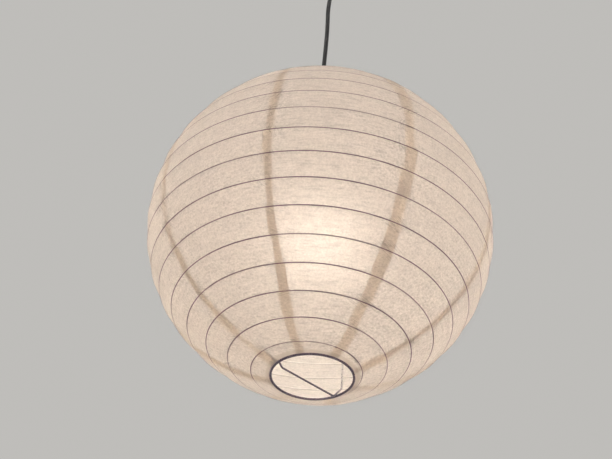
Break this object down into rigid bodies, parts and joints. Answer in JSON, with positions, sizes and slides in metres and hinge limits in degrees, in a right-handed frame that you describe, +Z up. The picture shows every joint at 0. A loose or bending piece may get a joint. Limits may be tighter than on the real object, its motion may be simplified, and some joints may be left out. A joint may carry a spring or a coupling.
{
  "type": "paper ball pendant lamp",
  "caption": "Round paper pendant lamp: lapped gores on a spiral wire rib, held open by a bent wire stretcher on a cord-hung lampholder with a screw-in bulb and a ceiling rose.",
  "frame": {"origin": "ceiling face of the rose, over the cord's axis", "axes": "+Z up to the ceiling, -Y towards the viewer of the picture, +X to the viewer's right"},
  "size_m": [0.4494, 0.4496, 0.7405],
  "materials": {
    "paper": "translucent, fibrous",
    "rib_wire": "matt",
    "steel_wire": "satin",
    "dark_cord": "matt",
    "dark_plastic": "satin",
    "white_plastic": "satin",
    "clear_grey_plastic": "waxy",
    "white_ceramic": "glazed",
    "zinc_steel": "zinc plated",
    "brass": "plain",
    "nickel_cap": "satin",
    "black_glass": "gloss",
    "opal_glass": "opal, lit"
  },
  "bodies": {
    "ceiling_fitting": {"rose_base": "white_plastic", "swivel_bracket": "zinc_steel", "bracket_screws": "zinc_steel", "terminal_block": "clear_grey_plastic", "terminal_screws": "brass"},
    "ceiling_cover": {"rose_cover": "white_plastic"},
    "swivel": {"swivel_ball": "dark_plastic"},
    "pendant": {"pendant_cord": "dark_cord", "holder_cap": "dark_plastic", "grip_screw": "dark_plastic", "holder_body": "dark_plastic", "holder_insert": "white_ceramic", "holder_terminals": "brass", "centre_contact": "brass", "screw_shell": "brass", "clamp_ring": "dark_plastic", "holder_carrier": "steel_wire", "stretcher_wire": "steel_wire", "top_ring": "steel_wire", "bottom_ring": "steel_wire", "rib_spiral": "rib_wire", "paper_panel_1": "paper", "paper_panel_2": "paper", "paper_panel_3": "paper", "paper_panel_4": "paper", "paper_panel_5": "paper", "paper_panel_6": "paper", "paper_panel_7": "paper", "paper_panel_8": "paper"},
    "bulb_core": {"bulb_insulator": "black_glass", "bulb_tip": "brass"},
    "bulb": {"bulb_globe": "opal_glass", "bulb_cap": "nickel_cap"}
  },
  "joints": [
    {"name": "swing_x", "type": "hinge", "parent": "ceiling_fitting", "child": "swivel", "pos_m": [0, 0, -0.027], "axis": [1, 0, 0], "range_deg": [-15, 15]},
    {"name": "swing_y", "type": "hinge", "parent": "swivel", "child": "pendant", "pos_m": [0, 0, -0.027], "axis": [0, 1, 0], "range_deg": [-15, 15]},
    {"name": "cover_turn", "type": "hinge", "parent": "ceiling_fitting", "child": "ceiling_cover", "pos_m": [0, 0, -0.01], "axis": [0, 0, 1], "range_deg": [0, 32]},
    {"name": "bulb_lower", "type": "slide", "parent": "pendant", "child": "bulb_core", "axis": [0, 0, -1], "range_m": [0, 0.01633]},
    {"name": "bulb_turn", "type": "hinge", "parent": "bulb_core", "child": "bulb", "pos_m": [0, 0, -0.529], "axis": [0, 0, -1], "range_deg": [0, 1620.5]}
  ],
  "couplings": [
    {"joint": "bulb_turn", "follows": "bulb_lower", "rad_per_m": 1730.9}
  ]
}
